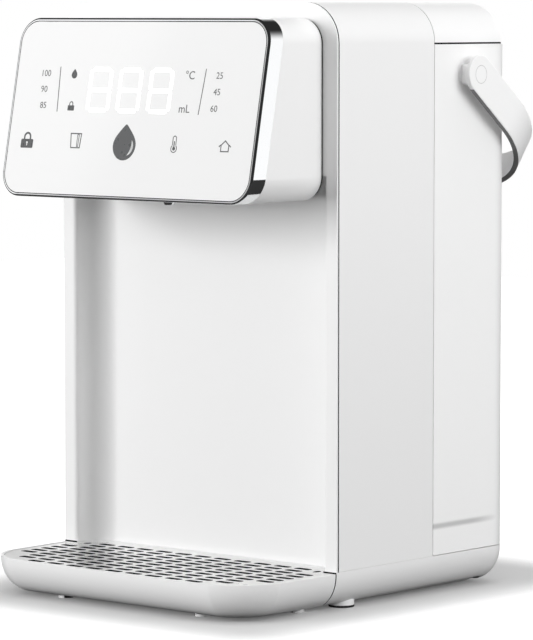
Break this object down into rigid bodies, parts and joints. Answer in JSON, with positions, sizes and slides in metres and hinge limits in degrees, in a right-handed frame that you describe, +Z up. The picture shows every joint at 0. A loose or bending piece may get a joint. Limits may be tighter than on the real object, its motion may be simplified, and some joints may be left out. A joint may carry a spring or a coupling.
{
  "type": "instant hot water dispenser",
  "caption": "Countertop instant hot water dispenser with a sloping touch panel, a lift-off rear tank with a bail handle, and a pull-out drip tray.",
  "frame": {"origin": "middle of the footprint, on the surface that the feet stand on, with the handle hanging", "axes": "+Z up, -Y towards the user and the touch panel, +X to the user's right"},
  "size_m": [0.21, 0.259, 0.315],
  "materials": {
    "white_abs": "satin moulded white ABS",
    "frosted_plastic": "frosted translucent white",
    "lid_plastic": "satin moulded white ABS",
    "white_glass": "gloss, back-printed white",
    "chrome": "polished",
    "grille_steel": "brushed along the slots",
    "heater_steel": "drawn",
    "black_rubber": "matt",
    "white_silicone": "matt, clear white",
    "circuit_board": "satin solder mask",
    "black_plastic": "matt",
    "grey_plastic": "matt",
    "zinc_screws": "bright zinc"
  },
  "bodies": {
    "dispenser_body": {"front_frame": "white_abs", "side_shell": "white_abs", "rear_cover": "white_abs", "base_tub": "white_abs", "base_deck": "grey_plastic", "rubber_feet": "black_rubber", "base_screws": "zinc_screws", "cord_gland": "black_rubber", "head_housing": "white_abs", "bezel_ring": "chrome", "touch_panel": "white_glass", "light_guide": "white_silicone", "display_board": "circuit_board", "nozzle": "grey_plastic", "nozzle_tip": "chrome", "dock_socket": "grey_plastic", "pump_pad": "black_rubber", "pump_housing": "black_plastic", "pump_motor": "heater_steel", "heater_tube": "heater_steel", "heater_caps": "black_plastic", "heater_clamps": "grey_plastic", "inlet_hose": "white_silicone", "heater_hose": "white_silicone", "outlet_hose": "white_silicone", "power_board": "circuit_board", "board_parts": "black_plastic", "panel_cable": "black_rubber"},
    "tank": {"tank_shell": "frosted_plastic", "valve_housing": "grey_plastic", "valve_ring": "black_rubber", "valve_cage": "grey_plastic", "valve_spring": "zinc_screws"},
    "poppet": {"valve_poppet": "grey_plastic"},
    "lid": {"tank_lid": "lid_plastic", "lid_seal": "white_silicone"},
    "handle": {"carry_handle": "lid_plastic"},
    "tray": {"drip_tray": "white_abs"},
    "grille": {"drip_grille": "grille_steel"},
    "impeller": {"pump_impeller": "grey_plastic"}
  },
  "joints": [
    {"name": "tank_lift", "type": "slide", "parent": "dispenser_body", "child": "tank", "axis": [0, 0, 1], "range_m": [0, 0.3]},
    {"name": "lid_lift", "type": "slide", "parent": "tank", "child": "lid", "axis": [0, 0, 1], "range_m": [0, 0.032]},
    {"name": "handle_swing", "type": "hinge", "parent": "tank", "child": "handle", "pos_m": [0, 0.05213, 0.277], "axis": [1, 0, 0], "range_deg": [0, 135]},
    {"name": "poppet_lift", "type": "slide", "parent": "tank", "child": "poppet", "axis": [0, 0, 1], "range_m": [0, 0.002], "stiffness_N_per_m": 60, "springref_m": -0.006, "deforming": ["valve_spring"]},
    {"name": "tray_pull", "type": "slide", "parent": "dispenser_body", "child": "tray", "axis": [0, -1, 0], "range_m": [0, 0.12]},
    {"name": "grille_lift", "type": "slide", "parent": "tray", "child": "grille", "axis": [0, 0, 1], "range_m": [0, 0.05]},
    {"name": "pump_spin", "type": "hinge", "parent": "dispenser_body", "child": "impeller", "pos_m": [0.038, -0.00987, 0.04], "axis": [0, 0, 1], "continuous": true}
  ]
}
